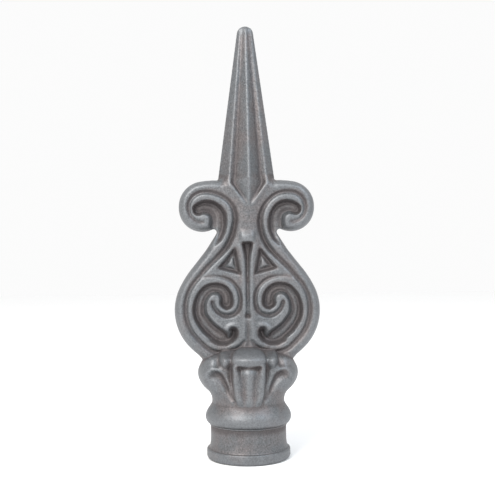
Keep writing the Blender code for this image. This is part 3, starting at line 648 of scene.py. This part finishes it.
def front_leaf(x, v, rim):
    """The front leaf's relief: a sunk blade with a middle rib, framed by a rim that arches over."""
    far, _, inner = nearest(x, v, rim)
    band = np.interp(v, *RIM_WIDTH)
    blade = np.where(inner, smooth_step(band - 0.4, band + 0.9, far), 0.0)
    under_rim = smooth_step(*UNDER_RIM, v)
    rib = 0.9 * hump(x, 0.0, 4.9) * (1.0 - 0.4 * under_rim)
    frame = np.where(inner | (far < 0.8), 0.7, 0.7 * smooth_step(1.9, 0.8, far))
    return frame + 0.5 * hump(far, 0.0, 1.9) - blade * (1.4 + 0.6 * under_rim - 1.4 * rib)


def side_leaf(x, v):
    """The side leaf's relief: a rib that arches over a comma-shaped hollow."""
    rib_far = nearest(x, v, arc_line(SIDE_RIB, np.ones(2)))[0]
    comma_far, place, _ = nearest(x, v, arc_line(SIDE_COMMA, np.ones(2)))
    width = np.interp(place, *COMMA_WIDTH)
    depth = np.interp(place, *COMMA_DEPTH)
    relief = 0.75 * hump(rib_far, 0.0, 2.0) - depth * hump(comma_far, 0.0, width)
    return relief + 0.3 * hump(comma_far, 1.3 * width, 0.8 * width) * smooth_step(0.35, 0.6, place)


def capital_radius(size, theta, z):
    """The capital's radius, theta turning from the front (0) to the side (a quarter turn)."""
    core = size.capital_diameter / 2.0
    unit = core / CAPITAL_SHEET[0]
    v = (z - size.collar_top) / size.capital_height * CAPITAL_SHEET[1]
    side_turn = np.degrees(math.pi / 2.0 - theta)

    # The core closes over inside the panel, and a lobe swells out on each side.
    closing = np.clip(v - CORE_TOP, 0.0, CORE_CLOSING) / CORE_CLOSING
    close = np.sqrt(np.clip(1.0 - closing ** 2, 0.0, 1.0))
    lobe = arc_line(SIDE_LOBE, np.ones(2))[::-1]
    waist = lobe[:, 0].min()
    swell = (np.interp(v, lobe[:, 1], lobe[:, 0]) - waist) / (lobe[:, 0].max() - waist)
    swell *= (size.side_leaf_spread / 2.0 - core) * smooth_step(*LOBE_TOP, v)
    body = core * (0.25 + 0.75 * close) + swell * smooth_step(*LOBE_TURN, side_turn)

    rim = arc_line(FRONT_RIM, np.ones(2))
    upright = rim[:rim[:, 0].argmax() + 1]
    rim_reach = np.interp(v, upright[:, 1], upright[:, 0])
    rise = smooth_step(*LEAF_FOOT, v)
    over = np.clip((v - DOME_BASE) / DOME_RISE, 0.0, 1.0)
    dome_half = DOME_HALF * np.sqrt(1.0 - over ** 3)
    dome_top = size.lip_spread / 2.0 * (0.2 + 0.8 * np.sqrt(1.0 - over ** 2))
    dome_top -= 1.7 * unit * smooth_step(*DOME_LIP, v)
    bud_half = np.interp(v, *BUD_WIDTH)
    bud_height = np.where(v < BUD_MIDDLE[1], *BUD_HEIGHTS)

    # What is drawn from the front moves outwards as it stands out, so x settles in steps.
    x = body / unit * np.sin(theta)
    for _ in range(6):
        gap = hump(x, rim_reach + 2.3, 1.4) * smooth_step(*GAP_TOP, v)
        gap *= 0.9 + 0.5 * smooth_step(*GAP_DEEPENING, v)
        side_gap = hump(x, 15.3, 1.7) * smooth_step(*SIDE_GAP_FOOT, v) * smooth_step(*GAP_TOP, v)
        leaves = front_leaf(x, v, rim) * smooth_step(*LEAF_TOP, v) + side_leaf(x, v)
        radius = body + size.leaf_relief * rise * (leaves - gap - 1.8 * side_gap)
        dome = dome_top - 1.6 * unit * (x / 8.2) ** 2
        dome_share = smooth_step(dome_half, dome_half - 1.2, x) * smooth_step(*DOME_FOOT, v)
        radius += np.maximum(dome - radius, 0.0) * dome_share
        bud_far = np.hypot((x - BUD_MIDDLE[0]) / bud_half, (v - BUD_MIDDLE[1]) / bud_height)
        bud = np.clip(1.0 - bud_far ** 2, 0.0, 1.0)
        radius = np.maximum(radius, core * (0.6 + 0.58 * np.sqrt(bud)) * (bud > 0.0))
        x = 0.5 * (x + radius / unit * np.sin(theta))
    return radius


def turned_body(name, profile, steps, collection):
    """A closed round body from a profile of (radius, height) that runs from top to bottom."""
    mesh = bpy.data.meshes.new(name)
    mesh.from_pydata([(radius, 0.0, z) for radius, z in profile],
                     [(k, k + 1) for k in range(len(profile) - 1)], [])
    body = new_object(name, mesh, collection)
    turned = body.modifiers.new("turned", "SCREW")
    turned.axis = "Z"
    turned.steps = steps
    turned.render_steps = steps
    turned.use_merge_vertices = True
    turned.merge_threshold = MERGE_DISTANCE
    return body


def leaf_capital(size, collection):
    """A turned core with its leaves raised on it, from inside the collar to inside the panel."""
    low = size.collar_top - size.torus_height * 0.4
    high = size.panel_base + size.capital_height * 0.32
    core = size.capital_diameter / 2.0
    rows = math.ceil((high - low) / size.pattern_step)
    around = 4 * math.ceil(math.pi * size.capital_diameter / 4.0 / size.pattern_step)
    profile = [(core, high - (high - low) * k / rows) for k in range(rows + 1)]
    capital = turned_body("leaf_capital", [(0.0, high)] + profile + [(0.0, low)],
                          around, collection)
    apply_modifiers(capital)

    quarter = around // 4
    turns = np.linspace(0.0, math.pi / 2.0, quarter + 1)
    levels = np.linspace(high, low, rows + 1)
    softness = size.pattern_softness / size.pattern_step
    drawn = soften(capital_radius(size, *np.meshgrid(turns, levels)), softness)
    place = mesh_points(capital.data)
    reach = np.hypot(place[:, 0], place[:, 1])
    theta = np.arctan2(np.abs(place[:, 0]), np.abs(place[:, 1]))
    row = np.rint((high - place[:, 2]) / (high - low) * rows).astype(int)
    radius = drawn[row, np.rint(theta / (math.pi / 2.0) * quarter).astype(int)]
    plug = core * 0.94
    inner = smooth_step(size.collar_top - size.torus_height * 0.3, size.collar_top, place[:, 2])
    radius = plug + (radius - plug) * inner
    stretch = np.where(reach > core / 2.0, radius / core, 1.0)
    place[:, 0] *= stretch
    place[:, 1] *= stretch
    capital.data.vertices.foreach_set("co", place.ravel())
    return capital


def collar(size, collection):
    """The turned collar: flange, cove, neck and torus, closed at its top inside the capital."""
    flange = size.flange_diameter / 2.0
    neck = size.neck_diameter / 2.0
    torus = size.torus_diameter / 2.0
    shoulder = size.capital_diameter / 2.0 - size.shoulder_gap
    cove_top = size.flange_height + size.cove_height
    torus_base = cove_top + size.neck_height
    belly = torus_base + size.torus_belly * size.torus_height
    run_out = size.collar_top + size.shoulder_run_out * size.torus_height
    profile = [(0.0, run_out), (shoulder, run_out)]
    for k in range(1, size.turning_steps + 1):
        share = k / size.turning_steps
        flare = (0.5 - 0.5 * math.cos(math.pi * share)) ** size.shoulder_swell
        profile.append((shoulder + (torus - shoulder) * flare,
                        run_out - (run_out - belly) * share))
    bead_top = torus_base + 2.0 * size.seat_bead
    quirk = neck + 0.4 * size.seat_bead
    for k in range(1, size.turning_steps + 1):
        sweep = math.pi / 2.0 * k / size.turning_steps
        profile.append((quirk + (torus - quirk) * math.cos(sweep),
                        belly - (belly - bead_top) * math.sin(sweep)))
    for k in range(1, BEAD_STEPS + 1):
        sweep = math.pi * k / BEAD_STEPS
        profile.append((neck + size.seat_bead * math.sin(sweep),
                        torus_base + size.seat_bead * (1.0 + math.cos(sweep))))
    profile.append((neck, torus_base - size.neck_height * 0.5))
    spread = flange - size.shoulder_rounding - neck
    for k in range(size.turning_steps):
        sweep = math.pi / 2.0 * k / size.turning_steps
        profile.append((neck + spread * (1.0 - math.cos(sweep)) ** size.cove_spring,
                        cove_top - size.cove_height * math.sin(sweep)))
    for k in range(size.turning_steps):
        sweep = math.pi / 2.0 * k / (size.turning_steps - 1)
        profile.append((flange - size.shoulder_rounding * (1.0 - math.sin(sweep)),
                        size.flange_height - size.shoulder_rounding * (1.0 - math.cos(sweep))))
    for k in range(size.turning_steps):
        sweep = math.pi / 2.0 * k / (size.turning_steps - 1)
        profile.append((flange - size.flange_rounding * (1.0 - math.cos(sweep)),
                        size.flange_rounding * (1.0 - math.sin(sweep))))
    profile.append((0.0, 0.0))
    return turned_body("collar", profile, size.collar_steps, collection)


def socket(size, collection):
    """The blind round socket in the underside, with a flat end for the bar to seat on."""
    radius = size.bar_diameter / 2.0 + size.bar_clearance
    below = size.socket_overcut
    bpy.ops.mesh.primitive_cylinder_add(
        vertices=size.collar_steps, radius=radius, depth=size.socket_depth + below,
        location=(0.0, 0.0, (size.socket_depth - below) / 2.0))
    bore = bpy.context.object
    bore.name = "socket_bore"
    for holder in bore.users_collection:
        holder.objects.unlink(bore)
    collection.objects.link(bore)
    return bore


def apply_modifiers(thing):
    """Turn an object's modifiers into plain mesh."""
    depsgraph = bpy.context.evaluated_depsgraph_get()
    mesh = bpy.data.meshes.new_from_object(thing.evaluated_get(depsgraph))
    thing.modifiers.clear()
    thing.data = mesh


def join_bodies(name, bodies, collection):
    """One mesh that holds several overlapping closed bodies, for the remesh to fuse."""
    joined = bmesh.new()
    for body in bodies:
        joined.from_mesh(body.data)
        bpy.data.objects.remove(body)
    mesh = bpy.data.meshes.new(name)
    joined.to_mesh(mesh)
    joined.free()
    return new_object(name, mesh, collection)


def boolean(thing, name, operation, other):
    cut = thing.modifiers.new(name, "BOOLEAN")
    cut.operation = operation
    cut.solver = "EXACT"
    cut.object = other


def fine_head(size, collection):
    """The head's whole casting as one closed mesh, with its modifiers applied."""
    head = join_bodies("fine_railing_head",
                       [scroll_and_spear(size, collection), leaf_capital(size, collection)], collection)
    fused = head.modifiers.new("fused", "REMESH")
    fused.mode = "VOXEL"
    fused.voxel_size = size.voxel_size
    sanded = head.modifiers.new("sanded", "SMOOTH")
    sanded.factor = 0.5
    sanded.iterations = size.sanding_passes
    apply_modifiers(head)
    head.data.calc_loop_triangles()
    thinned = head.modifiers.new("thinned", "DECIMATE")
    thinned.use_collapse_triangulate = True
    thinned.ratio = min(1.0, size.carved_triangles / len(head.data.loop_triangles))
    apply_modifiers(head)

    turned = collar(size, collection)
    bore = socket(size, collection)
    boolean(head, "collar", "UNION", turned)
    boolean(head, "socket", "DIFFERENCE", bore)
    apply_modifiers(head)
    for cutter in (turned, bore):
        bpy.data.objects.remove(cutter)
    return head


def keep_within(mesh, low, high):
    """Hold every point inside a box."""
    place = np.clip(mesh_points(mesh), low, high)
    mesh.vertices.foreach_set("co", place.ravel())
    mesh.update()


def mark_heights(mesh):
    """Store how far each point stands out (+1) or lies sunk (-1), against near and far surroundings."""
    edges = np.empty(len(mesh.edges) * 2, int)
    mesh.edges.foreach_get("vertices", edges)
    first, second = edges.reshape(-1, 2).T
    count = len(mesh.vertices)
    shared = np.bincount(first, minlength=count) + np.bincount(second, minlength=count)
    place = mesh_points(mesh)
    normals = np.empty(count * 3)
    mesh.vertices.foreach_get("normal", normals)
    smooth = place.copy()
    rounds = 0
    for name, reach, full in HEIGHT_MARKS:
        for _ in range(reach - rounds):
            for axis in range(3):
                total = np.bincount(first, smooth[second, axis], count)
                total += np.bincount(second, smooth[first, axis], count)
                smooth[:, axis] = total / shared
        rounds = reach
        height = ((place - smooth) * normals.reshape(-1, 3)).sum(axis=1)
        stored = mesh.attributes.new(name, "FLOAT", "POINT")
        stored.data.foreach_set("value", np.clip(height / full, -1.0, 1.0).astype(np.float32))


class NodeBench:
    """Adds nodes to a material and links them."""

    def __init__(self, material):
        material.use_nodes = True
        self.nodes = material.node_tree.nodes
        self.links = material.node_tree.links
        self.shader = self.nodes["Principled BSDF"]

    def add(self, kind, settings=(), inputs=()):
        node = self.nodes.new(kind)
        for name, value in settings:
            setattr(node, name, value)
        for name, value in inputs:
            if isinstance(value, bpy.types.NodeSocket):
                self.links.new(value, node.inputs[name])
            else:
                node.inputs[name].default_value = value
        return node

    def noise(self, place, size, detail=4.0, roughness=0.6):
        """Noise whose lumps are about the given size across."""
        made = self.add("ShaderNodeTexNoise", inputs=(
            ("Vector", place), ("Scale", 1.0 / size), ("Detail", detail), ("Roughness", roughness)))
        return made.outputs["Fac"]

    def spread(self, value, low, high, to_low=0.0, to_high=1.0):
        """A value taken from one range to another, held at its ends."""
        made = self.add("ShaderNodeMapRange", inputs=(
            ("Value", value), ("From Min", low), ("From Max", high),
            ("To Min", to_low), ("To Max", to_high)))
        return made.outputs["Result"]

    def maths(self, operation, first, second):
        made = self.add("ShaderNodeMath", (("operation", operation),), ((0, first), (1, second)))
        return made.outputs["Value"]

    def mix(self, factor, first, second, blend="MIX"):
        made = self.add("ShaderNodeMix", (("data_type", "RGBA"), ("blend_type", blend)), (
            (0, factor), (6, first), (7, second)))
        return made.outputs[2]


def cast_iron(iron):
    """Raw cast iron: patchy grey skin with sand grain, hollows darkened by dirt and painted shade, and
    crests lightened by wear and painted highlights.
    """
    material = bpy.data.materials.new("cast_iron")
    bench = NodeBench(material)
    place = bench.add("ShaderNodeTexCoord").outputs["Object"]
    crest, level = (bench.add("ShaderNodeAttribute", (("attribute_name", name),)).outputs["Fac"]
                    for name, _, _ in HEIGHT_MARKS)
    patches = bench.noise(place, iron.patch_size)
    dents = bench.noise(place, iron.cast_size, detail=3.0)
    grain = bench.noise(place, iron.grain_size, detail=2.0, roughness=0.7)

    tone = bench.maths("ADD", patches, bench.maths("MULTIPLY", level, 0.2))
    skin = bench.mix(bench.spread(tone, 0.35, 0.65), (*iron.warm_grey, 1.0), (*iron.cool_grey, 1.0))
    speckle = bench.spread(grain, 0.3, 0.7, 1.0 - iron.grain_contrast, 1.0 + iron.grain_contrast)
    skin = bench.mix(1.0, skin, speckle, "MULTIPLY")
    ridge = bench.maths("ADD", crest, bench.spread(dents, 0.35, 0.65, -0.3, 0.3))
    # Raised places are lightened towards the bright crest grey: rubbed metal, and painted highlights on
    # crests and rims.
    rubbed_and_highlit = bench.spread(bench.maths("ADD", ridge, level), 0.4, 1.6, 0.0, iron.wear)
    skin = bench.mix(rubbed_and_highlit, skin, (*iron.worn_grey, 1.0))
    # Sunk places are darkened towards the dark hollow grey: dirt and scale, and painted shade where the
    # grooves lie in shadow.
    deep = bench.maths("ADD", bench.maths("MULTIPLY", ridge, 0.4), level)
    sunk = bench.spread(deep, -0.1, -0.9, 0.0, iron.dirt)
    skin = bench.mix(sunk, skin, (*iron.hollow_grey, 1.0))
    bench.links.new(skin, bench.shader.inputs["Base Color"])

    rough = bench.spread(grain, 0.3, 0.7, iron.roughness - 0.08, iron.roughness + 0.1)
    rough = bench.maths("ADD", rough, bench.maths("MULTIPLY", sunk, 0.2))
    bench.links.new(rough, bench.shader.inputs["Roughness"])
    bench.shader.inputs["Metallic"].default_value = iron.metallic

    coarse = bench.add("ShaderNodeBump", inputs=(
        ("Height", dents), ("Strength", 1.0), ("Distance", iron.cast_depth)))
    fine = bench.add("ShaderNodeBump", inputs=(
        ("Height", grain), ("Strength", 1.0), ("Distance", iron.grain_depth),
        ("Normal", coarse.outputs["Normal"])))
    bench.links.new(fine.outputs["Normal"], bench.shader.inputs["Normal"])
    return material


class RAILING_OT_cast_head(Operator):
    """Cast the fine railing head in place of the plain one"""

    bl_idname = "railing.cast_head"
    bl_label = "Cast Railing Head"
    bl_options = {"REGISTER", "UNDO"}

    def execute(self, context):
        size = context.scene.railing_head
        head = fine_head(size, context.scene.collection)
        keep_within(head.data, head_low, head_high)
        head.data.shade_smooth()
        head.data.set_sharp_from_angle(angle=SHARP_ANGLE)
        mark_heights(head.data)
        head.data.materials.clear()
        head.data.materials.append(cast_iron(context.scene.railing_iron))
        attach(head, "root")
        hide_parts("railing_head")
        return {"FINISHED"}


FLOOR_ROUGHNESS = 0.9

# The studio's lights: name, stage property of the power, place, side and tint.
SOFT_LIGHTS = (
    ("key_light", "key_power", (-0.38, -0.6, 0.66), 0.45, (1.0, 0.98, 0.955)),
    ("fill_light", "fill_power", (0.5, -0.45, 0.7), 0.2, (0.78, 0.89, 1.0)),
)


def soft_light(name, place, aim, side, power, tint, collection):
    """A square soft light that looks at a point."""
    lamp = bpy.data.lights.new(name, "AREA")
    lamp.size = side
    lamp.energy = power
    lamp.color = tint
    holder = new_object(name, lamp, collection)
    holder.location = place
    holder.rotation_euler = (Vector(aim) - Vector(place)).to_track_quat("-Z", "Y").to_euler()


def pale_floor(stage):
    """A pale floor that the head stands on."""
    bpy.ops.mesh.primitive_plane_add(size=stage.floor_width, location=(0.0, 0.0, 0.0))
    floor = bpy.context.object
    floor.name = "floor"
    material = bpy.data.materials.new("pale_floor")
    material.use_nodes = True
    shader = material.node_tree.nodes["Principled BSDF"]
    shader.inputs["Base Color"].default_value = (*stage.floor_colour, 1.0)
    shader.inputs["Roughness"].default_value = FLOOR_ROUGHNESS
    floor.data.materials.append(material)


def camera(stage, collection):
    """The photograph's viewpoint: level with the middle of the head and a little to its left."""
    lens = bpy.data.cameras.new("camera")
    lens.lens = stage.camera_lens
    holder = new_object("camera", lens, collection)
    turn = Matrix.Rotation(stage.camera_turn, 4, "Z")
    level = Matrix.Rotation(math.pi / 2.0, 4, "X")
    roll = Matrix.Rotation(stage.camera_roll, 4, "Z")
    holder.matrix_world = (
        Matrix.Translation((0.0, 0.0, stage.camera_height)) @ turn
        @ Matrix.Translation((stage.camera_side, -stage.camera_distance, 0.0)) @ level @ roll)
    return holder


class RAILING_OT_set_stage(Operator):
    """Lay the floor and set the lights and the camera"""

    bl_idname = "railing.set_stage"
    bl_label = "Set Stage"
    bl_options = {"REGISTER", "UNDO"}

    def execute(self, context):
        scene = context.scene
        stage = scene.railing_stage
        pale_floor(stage)
        middle = (0.0, 0.0, head_high.z / 2.0)
        for name, power, place, side, tint in SOFT_LIGHTS:
            soft_light(name, place, middle, side, getattr(stage, power), tint, scene.collection)
        world = bpy.data.worlds.new("studio")
        world.use_nodes = True
        sky = world.node_tree.nodes["Background"]
        sky.inputs["Color"].default_value = (1.0, 1.0, 1.0, 1.0)
        sky.inputs["Strength"].default_value = stage.sky_strength
        scene.world = world
        scene.view_settings.view_transform = "Standard"
        scene.camera = camera(stage, scene.collection)
        return {"FINISHED"}


class RAILING_PT_panel(Panel):
    """The railing head's sizes, finish and stage in the sidebar"""

    bl_idname = "RAILING_PT_panel"
    bl_label = "Railing Head"
    bl_space_type = "VIEW_3D"
    bl_region_type = "UI"
    bl_category = "Railing Head"

    def draw(self, context):
        for heading, name, operator in PANEL_BOXES:
            box = self.layout.box()
            box.label(text=heading)
            group = getattr(context.scene, name)
            for prop in group.bl_rna.properties:
                if prop.identifier in type(group).__annotations__:
                    box.prop(group, prop.identifier)
            if operator:
                box.operator(operator)


PANEL_BOXES = (
    ("Head", "railing_head", "railing.cast_head"),
    ("Iron", "railing_iron", None),
    ("Stage", "railing_stage", "railing.set_stage"),
)
GROUPS = (
    ("railing_head", RAILING_PG_head),
    ("railing_iron", RAILING_PG_iron),
    ("railing_stage", RAILING_PG_stage),
)
CLASSES = (RAILING_OT_cast_head, RAILING_OT_set_stage, RAILING_PT_panel)


def register():
    for name, group in GROUPS:
        bpy.utils.register_class(group)
        setattr(bpy.types.Scene, name, PointerProperty(type=group))
    for shown in CLASSES:
        bpy.utils.register_class(shown)


def unregister():
    for shown in reversed(CLASSES):
        bpy.utils.unregister_class(shown)
    for name, group in reversed(GROUPS):
        delattr(bpy.types.Scene, name)
        bpy.utils.unregister_class(group)


def main():
    register()
    bpy.ops.railing.cast_head()
    bpy.ops.railing.set_stage()


if __name__ == "__main__":
    main()
